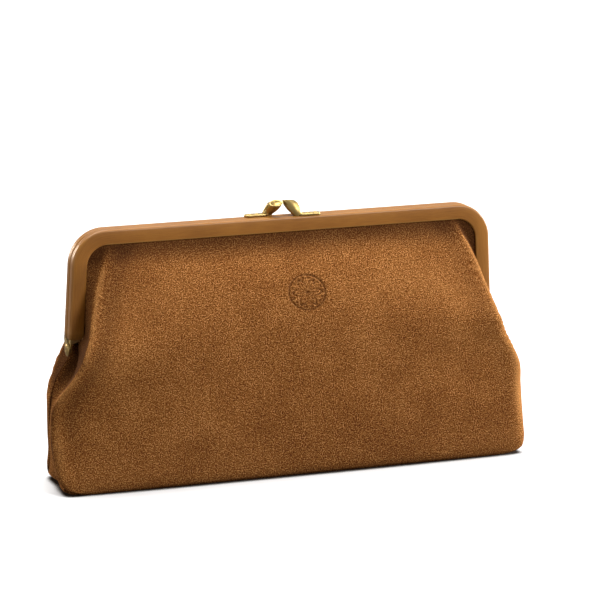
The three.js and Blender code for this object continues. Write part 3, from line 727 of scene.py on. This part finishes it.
# ------------------------ materials
class Nodes:
    """Builds a material's nodes with short calls."""

    def __init__(self, name):
        self.material = bpy.data.materials.new(name)
        self.material.use_nodes = True
        self.tree = self.material.node_tree
        self.shader = self.tree.nodes["Principled BSDF"]

    def add(self, kind, inputs=None, **settings):
        node = self.tree.nodes.new(kind)
        for key, value in settings.items():
            setattr(node, key, value)
        for key, value in (inputs or {}).items():
            self.put(node.inputs[key], value)
        return node

    def put(self, socket, value):
        if isinstance(value, bpy.types.NodeSocket):
            self.tree.links.new(value, socket)
        elif value is not None:
            socket.default_value = value

    def noise(self, vector, scale, detail=2.0, rough=0.5, distortion=0.0):
        node = self.add("ShaderNodeTexNoise", {
            "Vector": vector, "Scale": scale, "Detail": detail, "Roughness": rough,
            "Distortion": distortion,
        })
        return node.outputs["Fac"]

    def spread(self, value, low, high, to_low=0.0, to_high=1.0):
        node = self.add("ShaderNodeMapRange", {
            "Value": value, "From Min": low, "From Max": high, "To Min": to_low,
            "To Max": to_high,
        })
        return node.outputs["Result"]

    def math(self, operation, a, b=None):
        node = self.add("ShaderNodeMath", {0: a, 1: b}, operation=operation)
        return node.outputs[0]

    def mix(self, share, a, b, blend="MIX"):
        node = self.add("ShaderNodeMix", data_type="RGBA", blend_type=blend)
        self.put(node.inputs[0], share)
        self.put(node.inputs[6], a)
        self.put(node.inputs[7], b)
        return node.outputs[2]

    def stretched(self, vector, scale):
        node = self.add("ShaderNodeMapping", {"Vector": vector, "Scale": scale})
        return node.outputs["Vector"]

    def bump(self, height, strength, distance, below=None):
        node = self.add("ShaderNodeBump", {
            "Height": height, "Strength": strength, "Distance": distance,
        })
        if below is not None:
            self.put(node.inputs["Normal"], below)
        return node.outputs["Normal"]

    def set(self, **values):
        for key, value in values.items():
            self.put(self.shader.inputs[key.replace("_", " ")], value)
        return self.material


def colour(red, green, blue):
    """Linear colour from 0-255 display values."""
    linear = []
    for part in (red, green, blue):
        c = part / 255
        linear.append(c / 12.92 if c <= 0.04045 else ((c + 0.055) / 1.055) ** 2.4)
    return (*linear, 1.0)


SUEDE_DARK = colour(50, 24, 7)
SUEDE_LOW = colour(106, 61, 24)
SUEDE_MID = colour(133, 82, 39)
SUEDE_HIGH = colour(208, 150, 87)
# colour of rubbed ridges, partly wear and partly a painted highlight, then colour of painted shade
SUEDE_RUBBED_HIGHLIGHT = colour(210, 150, 87)
SUEDE_PAINTED_SHADE = colour(52, 26, 10)
SUEDE_PRESSED = colour(62, 34, 16)
SUEDE_SHEEN = colour(206, 132, 62)
THREAD_DARK = colour(150, 108, 62)
THREAD_LIGHT = colour(206, 168, 118)
LEATHER_DARK = colour(119, 71, 21)
LEATHER_LIGHT = colour(162, 107, 40)
LEATHER_WORN = colour(173, 127, 63)
BRASS_LIGHT = colour(172, 146, 88)
BRASS_DULL = colour(150, 124, 72)
BRASS_BRIGHT = colour(214, 192, 138)
LINING_DARK = colour(150, 118, 78)
LINING_LIGHT = colour(214, 184, 140)
PAPER_DARK = colour(150, 122, 82)
PAPER_LIGHT = colour(224, 202, 160)
BOARD_DARK = colour(66, 46, 32)
BOARD_LIGHT = colour(118, 86, 60)


def suede_material():
    n = Nodes("brushed_suede")
    place = n.add("ShaderNodeTexCoord").outputs["UV"]
    fleck = n.noise(place, 1500, 2.0, 0.6)
    fine = n.noise(place, 2600, 2.0, 0.6)
    soft = n.noise(place, 380, 3.0, 0.6)
    cloud = n.noise(place, 40, 3.0, 0.55, 0.4)
    wide = n.noise(place, 9, 2.0, 0.5)
    tone = n.spread(fleck, 0.38, 0.62, -0.44, 0.44)
    for layer, half_range, weight in ((soft, 0.2, 0.1), (fine, 0.14, 0.2), (cloud, 0.2, 0.07),
                                      (wide, 0.2, 0.05)):
        change = n.spread(layer, 0.5 - half_range, 0.5 + half_range, -weight, weight)
        tone = n.math("ADD", tone, change)
    tone = n.spread(tone, -0.6, 0.6, 0.0, 1.0)
    ramp = n.add("ShaderNodeValToRGB", {"Fac": tone})
    steps = ((0.0, SUEDE_DARK), (0.36, SUEDE_LOW), (0.62, SUEDE_MID), (1.0, SUEDE_HIGH))
    ramp.color_ramp.elements[0].position, ramp.color_ramp.elements[0].color = steps[0]
    ramp.color_ramp.elements[1].position, ramp.color_ramp.elements[1].color = steps[-1]
    for position, shade in steps[1:-1]:
        ramp.color_ramp.elements.new(position).color = shade
    pressed = n.add("ShaderNodeAttribute", attribute_name="pressed").outputs["Fac"]
    base = n.mix(n.math("MULTIPLY", pressed, 0.5), ramp.outputs["Color"], SUEDE_PRESSED)
    painted_shade_and_wear = n.add("ShaderNodeAttribute", attribute_name="painted_shade_and_wear").outputs["Fac"]
    # painted highlight on the ridges, then painted shade in folds, under the bar, near the base and
    # in hollows
    base = n.mix(n.spread(painted_shade_and_wear, 0, 1, 0, 0.42), base, SUEDE_RUBBED_HIGHLIGHT)
    base = n.mix(n.spread(painted_shade_and_wear, 0, -1, 0, 0.8), base, SUEDE_PAINTED_SHADE)
    relief = n.math("ADD", n.math("MULTIPLY", fleck, 0.7), n.math("MULTIPLY", fine, 0.3))
    normal = n.bump(relief, 0.6, 0.0005)
    normal = n.bump(soft, 0.3, 0.0008, normal)
    rough = n.spread(soft, 0.3, 0.7, 0.86, 0.98)
    return n.set(
        Base_Color=base, Roughness=rough, Normal=normal, Specular_IOR_Level=0.04,
        Sheen_Weight=n.spread(painted_shade_and_wear, 0, -0.8, 0.13, 0.0), Sheen_Roughness=0.35,
        Sheen_Tint=SUEDE_SHEEN,
    )


def leather_material():
    n = Nodes("smooth_tan_leather")
    place = n.add("ShaderNodeTexCoord").outputs["UV"]
    where = n.add("ShaderNodeTexCoord").outputs["Object"]
    streak = n.noise(n.stretched(place, (2600, 90, 1)), 1.0, 3.0, 0.6)
    pore = n.noise(where, 1500, 2.0, 0.5)
    cloud = n.noise(where, 45, 3.0, 0.5)
    point = n.add("ShaderNodeNewGeometry").outputs["Pointiness"]
    worn = n.spread(point, 0.505, 0.56)
    tone = n.spread(streak, 0.3, 0.7, -0.22, 0.22)
    tone = n.math("ADD", tone, n.spread(cloud, 0.3, 0.7, 0.3, 0.7))
    base = n.mix(tone, LEATHER_DARK, LEATHER_LIGHT)
    base = n.mix(n.math("MULTIPLY", worn, 0.5), base, LEATHER_WORN)
    rough = n.math("ADD", n.spread(pore, 0.3, 0.7, 0.30, 0.42), n.math("MULTIPLY", worn, 0.08))
    height = n.math("ADD", n.math("MULTIPLY", streak, 0.6), n.math("MULTIPLY", pore, 0.4))
    normal = n.bump(height, 0.22, 0.00025)
    return n.set(
        Base_Color=base, Roughness=rough, Normal=normal, Specular_IOR_Level=0.32,
        Coat_Weight=0.1, Coat_Roughness=0.2,
    )


def brass_material():
    n = Nodes("pale_gold_brass")
    where = n.add("ShaderNodeTexCoord").outputs["Object"]
    cloud = n.noise(where, 220, 3.0, 0.6)
    brushed = n.noise(n.stretched(where, (400, 3000, 3000)), 1.0, 2.0, 0.5)
    point = n.add("ShaderNodeNewGeometry").outputs["Pointiness"]
    worn = n.spread(point, 0.5, 0.6)
    base = n.mix(n.spread(cloud, 0.35, 0.7), BRASS_LIGHT, BRASS_DULL)
    base = n.mix(n.math("MULTIPLY", worn, 0.5), base, BRASS_BRIGHT)
    rough = n.spread(cloud, 0.3, 0.7, 0.34, 0.46)
    return n.set(
        Base_Color=base, Metallic=1.0, Roughness=rough, Normal=n.bump(brushed, 0.06, 0.0001),
    )


def twill_material():
    n = Nodes("cotton_twill_lining")
    place = n.add("ShaderNodeTexCoord").outputs["UV"]
    turned = n.add("ShaderNodeMapping", {"Vector": place, "Rotation": (0, 0, math.radians(52))})
    ribs = n.add("ShaderNodeTexWave", {
        "Vector": turned.outputs["Vector"], "Scale": 320.0, "Distortion": 0.6, "Detail": 1.0,
    }).outputs["Fac"]
    yarn = n.noise(n.stretched(place, (900, 2400, 1)), 1.0, 2.0, 0.6)
    cloud = n.noise(place, 40, 2.0, 0.5)
    tone = n.math("ADD", n.math("MULTIPLY", ribs, 0.5), n.math("MULTIPLY", yarn, 0.35))
    tone = n.math("ADD", tone, n.spread(cloud, 0.3, 0.7, 0.0, 0.15))
    base = n.mix(tone, LINING_DARK, LINING_LIGHT)
    normal = n.bump(n.math("ADD", ribs, n.math("MULTIPLY", yarn, 0.5)), 0.5, 0.0002)
    return n.set(Base_Color=base, Roughness=0.85, Normal=normal, Sheen_Weight=0.15)


def thread_material():
    n = Nodes("waxed_thread")
    where = n.add("ShaderNodeTexCoord").outputs["Object"]
    twist = n.noise(n.stretched(where, (2600, 900, 2600)), 1.0, 2.0, 0.5)
    base = n.mix(n.spread(twist, 0.3, 0.7), THREAD_DARK, THREAD_LIGHT)
    normal = n.bump(twist, 0.5, 0.0002)
    return n.set(Base_Color=base, Roughness=0.62, Normal=normal, Specular_IOR_Level=0.3)


def cord_material():
    n = Nodes("twisted_paper")
    where = n.add("ShaderNodeTexCoord").outputs["Object"]
    turned = n.add("ShaderNodeMapping", {"Vector": where, "Rotation": (0.6, 0.7, 0.2)})
    twist = n.add("ShaderNodeTexWave", {
        "Vector": turned.outputs["Vector"], "Scale": 500.0, "Distortion": 1.2, "Detail": 2.0,
    }).outputs["Fac"]
    fibre = n.noise(where, 1800, 3.0, 0.6)
    tone = n.math("ADD", n.math("MULTIPLY", twist, 0.6), n.math("MULTIPLY", fibre, 0.4))
    base = n.mix(tone, PAPER_DARK, PAPER_LIGHT)
    return n.set(Base_Color=base, Roughness=0.9, Normal=n.bump(tone, 0.6, 0.0002))


def board_material():
    n = Nodes("pressed_fibre_board")
    where = n.add("ShaderNodeTexCoord").outputs["Object"]
    fibre = n.noise(n.stretched(where, (300, 1500, 900)), 1.0, 4.0, 0.7)
    speck = n.noise(where, 900, 2.0, 0.6)
    tone = n.math("ADD", n.math("MULTIPLY", fibre, 0.6), n.math("MULTIPLY", speck, 0.4))
    base = n.mix(n.spread(tone, 0.3, 0.7), BOARD_DARK, BOARD_LIGHT)
    return n.set(Base_Color=base, Roughness=0.92, Normal=n.bump(tone, 0.4, 0.0002))


suede = suede_material()
leather = leather_material()
brass = brass_material()
twill = twill_material()
paper = cord_material()
board = board_material()


def repaint(node, material):
    """Gives a carried-over CAD node a procedural material."""
    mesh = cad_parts[node].data
    mesh.materials.clear()
    mesh.materials.append(material)


for node in ("front_frame", "back_frame"):
    repaint(node, brass)
for node in ("front_channel_cord", "back_channel_cord"):
    repaint(node, paper)
repaint("base_stiffener", board)
for piece, side in ((front_panel, -1), (front_gusset, -1), (back_panel, 1), (back_gusset, 1)):
    piece.data.materials.append(suede)
    bend(piece)
for piece, side in ((front_lining, -1), (back_lining, 1), (front_gusset_lining, -1),
                    (back_gusset_lining, 1)):
    piece.data.materials.append(twill)
    bend(piece)
for piece, material in ((pocket, twill), (pocket_stitches, thread_material())):
    piece.data.materials.append(material)
    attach(piece, "pouch")


# ------------------------ swept and turned metal parts
def arch_path(inset, end, arc_steps=22):
    """Points (x, z) along the frame at an inset, from the left arm's end to the right arm's."""
    radius = CORNER_RADIUS - inset
    stretch = radius / math.cos(SPLAY)
    left = [(-float(arm_x(z, inset)), z) for z in np.linspace(end, ARC_Z, 12)[:-1]]
    for angle in np.linspace(0, math.pi / 2, arc_steps + 1):
        left.append((-(ARC_X + stretch * math.cos(angle)), ARC_Z + radius * math.sin(angle)))
    bar = [(x, ARC_Z + radius) for x in np.linspace(-ARC_X, ARC_X, 40)[1:-1]]
    return left + bar + [(-x, z) for x, z in reversed(left)]


def sweep_arch(name, section, end, side):
    """Sweeps a closed section of (inset, depth) points along the frame."""
    rings = [[(x, side * depth, z) for x, z in arch_path(inset, end)] for inset, depth in section]
    rings = np.array(rings)
    count, length = rings.shape[:2]
    points = rings.transpose(1, 0, 2)
    around = surface_lengths(np.concatenate([points, points[:, :1]], axis=1))[:, :-1]
    faces = tube_faces(length, count)
    if side > 0:
        faces = [f[::-1] for f in faces]
    obj = make_mesh(name, points.reshape(-1, 3), faces, around.reshape(-1, 2))
    obj.data.polygons[-1].use_smooth = False
    obj.data.polygons[-2].use_smooth = False
    return obj


def fix_normals(obj):
    """Turns every face of a closed piece outwards."""
    mesh = bmesh.new()
    mesh.from_mesh(obj.data)
    bmesh.ops.recalc_face_normals(mesh, faces=mesh.faces)
    mesh.to_mesh(obj.data)
    mesh.free()


def arc_points(centre, radius, start, stop, steps):
    """Points on an arc between two angles in degrees."""
    angles = np.radians(np.linspace(start, stop, steps))
    return [(centre[0] + radius * math.cos(a), centre[1] + radius * math.sin(a)) for a in angles]


def cover_section():
    """The leather skin round the channel as (inset, depth) points, outside and then inside."""
    face, back, edge = FACE_DEPTH, PARTING, BAR_HEIGHT
    section = [(edge - 1.6, back + 0.05), (0.7, back)]
    section += arc_points((0.7, back + 0.7), 0.7, 270, 180, 5)[1:]
    section += arc_points((1.3, face - 1.3), 1.3, 180, 90, 7)
    section += [(2.6, face + 0.12), (4.3, face + 0.18), (6.0, face + 0.12)]
    section += arc_points((edge - 0.8, face - 0.8), 0.8, 90, 0, 6)
    section += [(edge, face - 1.1), (edge - 0.55, face - 1.1), (edge - 0.7, face - 0.68)]
    section += [(1.0, face - 0.68), (0.62, face - 1.2), (0.62, back + 1.0), (1.0, back + 0.62)]
    return section + [(edge - 1.6, back + 0.62)]


for side, half in ((-1, "front"), (1, "back")):
    cover = sweep_arch(half + "_frame_leather", cover_section(), ARM_END, side)
    fix_normals(cover)
    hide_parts(half + "_frame_cover")
    cover.data.materials.append(leather)
    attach(cover, half + "_half")


# ------------------------ hinge rivets
def lathe(name, profile, steps=40):
    """Turns (radius, along) points about X, and puts the closed result in a mesh."""
    points = []
    for radius, along in profile:
        for k in range(steps):
            angle = 2 * math.pi * k / steps
            points.append((along, radius * math.cos(angle), radius * math.sin(angle)))
    obj = make_mesh(name, points, tube_faces(len(profile), steps))
    fix_normals(obj)
    return obj


for side, half in ((-1, "left"), (1, "right")):
    low, high = box_mm(half + "_hinge_rivet")
    outer_x, inner_x = (low[0], high[0]) if side < 0 else (high[0], low[0])
    reach = abs(outer_x - inner_x)
    profile = [
        (0.18, 0.28), (0.42, 0.20), (0.55, 0.02), (0.9, 0.0), (1.5, 0.04), (2.2, 0.14), (2.8, 0.3),
        (3.2, 0.5), (3.35, 0.72), (3.35, 0.9), (3.2, 0.98), (1.0, 1.0),
        (1.0, reach - 0.6), (1.7, reach - 0.6), (1.75, reach - 0.4), (1.3, reach - 0.08),
        (0.6, reach),
    ]
    rivet = lathe(half + "_rivet", [(r, d * -side) for r, d in profile])
    rivet.location = Vector((outer_x, 0, HINGE_Z)) * MM
    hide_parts(half + "_hinge_rivet")
    rivet.data.materials.append(brass)
    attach(rivet, "back_half")


# ------------------------ clasp
# The front half's horn: the line it follows from its foot to its mouth, and its sizes at both.
HORN_SPINE = [(8.6, -2.75, 143.5), (7.5, -2.5, 145.3), (5.9, -1.0, 147.9), (4.2, 1.6, 150.8)]
HORN_HALF_WIDE = (2.7, 4.0)
HORN_HALF_DEEP = (1.9, 3.2)
MOUTH_AXIS = unit(np.array([0.12, 0.42, 1.0]))
MOUTH_RINGS = ((0.9, -0.12), (0.72, 0.5), (0.45, 1.0), (0.15, 1.25))  # (size, depth)
FOOT_LOW, FOOT_HIGH = 10.4, 19.5
FOOT_HALF_WIDTH = 2.2
FOOT_THICK = 1.35
FOOT_Y, FOOT_Z = -2.75, FRAME_TOP + 0.1
PIN_PLACES = (14.0, 18.6)
PIN_DOME = ((1.0, 0.0), (0.95, 0.2), (0.7, 0.38), (0.3, 0.46))  # (radius, rise)


def growing(sizes, share):
    """A size between the first, at the foot, and the second, at the mouth."""
    return sizes[0] + (sizes[1] - sizes[0]) * share


def circle(count):
    """The cosine and sine of evenly spaced angles."""
    angles = [2 * math.pi * k / count for k in range(count)]
    return [(math.cos(a), math.sin(a)) for a in angles]


def horn_mesh(steps=30, around=28):
    """A horn that widens into a dished mouth: its points and faces."""
    spine = Curve(chord_knots(HORN_SPINE), HORN_SPINE)
    length = spine.t[-1]
    points = []
    for share in np.linspace(0, 1, steps + 1):
        centre = spine(share * length)
        ahead = spine(min(share + 0.02, 1) * length) - spine(max(share - 0.02, 0) * length)
        ahead = unit(ahead)
        to_mouth = smoothstep((share - 0.5) / 0.5)
        ahead = unit(ahead * (1 - to_mouth) + MOUTH_AXIS * to_mouth)
        wide = unit(np.cross(ahead, np.array([0.0, 1.0, 0.0])))
        deep = np.cross(wide, ahead)
        flare_out = smoothstep((share + 0.05) / 1.05)
        wide = wide * growing(HORN_HALF_WIDE, flare_out)
        deep = deep * growing(HORN_HALF_DEEP, flare_out)
        points += [centre + wide * across + deep * up for across, up in circle(around)]
    rim = points[-around:]
    centre = spine(length)
    for size, drop in MOUTH_RINGS:
        points += [centre + (point - centre) * size - MOUTH_AXIS * drop for point in rim]
    return points, tube_faces(len(points) // around, around)


def foot_mesh():
    """A flat bar with round ends, bevelled along its top: its points and faces."""
    outline = arc_points((FOOT_HIGH, 0), FOOT_HALF_WIDTH, -90, 90, 13)
    outline += arc_points((FOOT_LOW, 0), FOOT_HALF_WIDTH, 90, 270, 13)
    points = []
    for inset, z in ((0, 0.0), (0, 0.65), (0.12, 0.88), (0.35, 1.0)):
        for x, y in outline:
            direction = unit(np.array([x - np.clip(x, FOOT_LOW, FOOT_HIGH), y]))
            x_in, y_in = np.array([x, y]) - direction * inset
            points.append((x_in, FOOT_Y + y_in, FOOT_Z + FOOT_THICK * z))
    return points, tube_faces(4, len(outline))


def pin_mesh(x, around=16):
    """A low dome on the foot, where it is riveted to the frame: its points and faces."""
    points = []
    for radius, rise in PIN_DOME:
        z = FOOT_Z + FOOT_THICK + rise - 0.05
        points += [(x + radius * u, FOOT_Y + radius * v, z) for u, v in circle(around)]
    return points, tube_faces(len(PIN_DOME), around)


for side, half in ((-1, "front"), (1, "back")):
    points, faces = merged([horn_mesh(), foot_mesh(), *(pin_mesh(x) for x in PIN_PLACES)])
    points = np.array(points, float) * (-side, -side, 1)  # the back horn is turned half a turn
    horn = make_mesh(half + "_clasp_horn", points, faces)
    fix_normals(horn)
    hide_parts(half + "_clasp")
    horn.data.materials.append(brass)
    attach(horn, half + "_half")


# ------------------------ floor, light and camera
FLOOR_HALF = 4000.0
FLOOR_Z = -0.02
FLOOR_CONTACT_SHADOW = (0.06, 0.045, 0.035, 1)  # painted contact shadow right beside the purse
FLOOR_BOUNCE = (0.14, 0.13, 0.12, 1)  # what the purse's own light sees of the floor


def floor_material():
    """Pale for the camera, with a painted contact shadow in the narrow gap under the purse, and dim
    as a reflector.
    """
    n = Nodes("pale_floor")
    where = n.add("ShaderNodeTexCoord").outputs["Object"]
    speck = n.noise(where, 60, 2.0, 0.5)
    seen = n.add("ShaderNodeLightPath").outputs["Is Camera Ray"]
    near = n.add("ShaderNodeAmbientOcclusion", {"Distance": 0.005}, samples=12)
    painted_contact_shadow = n.spread(near.outputs["AO"], 0.42, 0.8)
    base = n.mix(speck, (0.74, 0.74, 0.74, 1), (0.76, 0.76, 0.76, 1))
    # painted contact shadow: the floor's colour darkens with ambient occlusion near the purse
    base = n.mix(painted_contact_shadow, FLOOR_CONTACT_SHADOW, base)
    cloth = n.add("ShaderNodeBsdfDiffuse", {"Color": n.mix(seen, FLOOR_BOUNCE, base)})
    n.tree.links.new(cloth.outputs[0], n.tree.nodes["Material Output"].inputs["Surface"])
    n.tree.nodes.remove(n.shader)
    return n.material


corners = [(x * FLOOR_HALF, y * FLOOR_HALF, FLOOR_Z)
           for x, y in ((-1, -1), (1, -1), (1, 1), (-1, 1))]
floor = make_mesh("floor", corners, [[0, 1, 2, 3]], smooth=False)
floor.data.materials.append(floor_material())


def add_light(name, kind, energy, shines, **settings):
    """A light that shines along a direction, with the settings of its kind."""
    data = bpy.data.lights.new(name, kind)
    data.energy = energy
    for key, value in settings.items():
        setattr(data, key, value)
    light = place(name, data)
    light.rotation_euler = shines.to_track_quat("-Z", "Y").to_euler()
    return light


def softbox(name, stands, target, size, power, tint=(1.0, 1.0, 1.0)):
    """A rectangular light that stands at a place in metres and is turned to a target."""
    shines = Vector(target) - Vector(stands)
    light = add_light(name, "AREA", power, shines, shape="RECTANGLE", size=size[0],
                      size_y=size[1], color=tint)
    light.location = stands


def direction(azimuth, elevation):
    """The way to a place at these angles in degrees: azimuth 0 is in front, 90 on the right."""
    a, e = math.radians(azimuth), math.radians(elevation)
    return Vector((math.sin(a) * math.cos(e), -math.cos(a) * math.cos(e), math.sin(e)))


add_light("overhead", "SUN", 4.8, -direction(190, 77), angle=math.radians(50))
softbox("front_right", (1.1, -1.8, 1.2), (0, 0, 0.06), (1.0, 0.9), 36)
softbox("right_side", (1.7, -0.2, 0.4), (0.1, 0, 0.05), (0.5, 0.6), 50)
softbox("left_behind", (-0.95, 2.0, 0.45), (-0.1, 0, 0.05), (0.4, 0.6), 15, (1.0, 0.86, 0.7))
softbox("edge_strip", (-1.7, -0.5, 0.45), (-0.1, 0, 0.08), (0.03, 0.9), 5.5)

# the world is full for the camera, dim for diffuse rays and half for reflections
world = bpy.data.worlds.new("studio")
bpy.context.scene.world = world
world.use_nodes = True
sky = world.node_tree
rays = sky.nodes.new("ShaderNodeLightPath").outputs
levels = ((rays["Is Camera Ray"], 0.5), (rays["Is Diffuse Ray"], -0.38))
strength = 0.5
for ray, change in levels:
    step = sky.nodes.new("ShaderNodeMath")
    step.operation = "MULTIPLY_ADD"
    sky.links.new(ray, step.inputs[0])
    step.inputs[1].default_value = change
    if isinstance(strength, float):
        step.inputs[2].default_value = strength
    else:
        sky.links.new(strength, step.inputs[2])
    strength = step.outputs[0]
sky.nodes["Background"].inputs["Color"].default_value = (1, 1, 1, 1)
sky.links.new(strength, sky.nodes["Background"].inputs["Strength"])
bpy.context.scene.view_settings.view_transform = "Standard"

CAMERA_AZIMUTH, CAMERA_ELEVATION = -22.35, 12.6  # in degrees
CAMERA_ROLL = math.radians(0.52)
CAMERA_DISTANCE = 2.2164
CAMERA_TARGET = Vector((0.0112, 0.0, 0.09395))
camera_data = bpy.data.cameras.new("camera")
camera_data.lens = 237.1
camera_data.clip_start, camera_data.clip_end = 0.05, 30
camera = place("camera", camera_data)
bpy.context.scene.camera = camera
toward = direction(CAMERA_AZIMUTH, CAMERA_ELEVATION)
upright = toward.to_track_quat("Z", "Y").to_matrix().to_4x4()
stands = Matrix.Translation(CAMERA_TARGET + toward * CAMERA_DISTANCE)
camera.matrix_world = stands @ upright @ Matrix.Rotation(CAMERA_ROLL, 4, "Z")

bpy.context.view_layer.update()
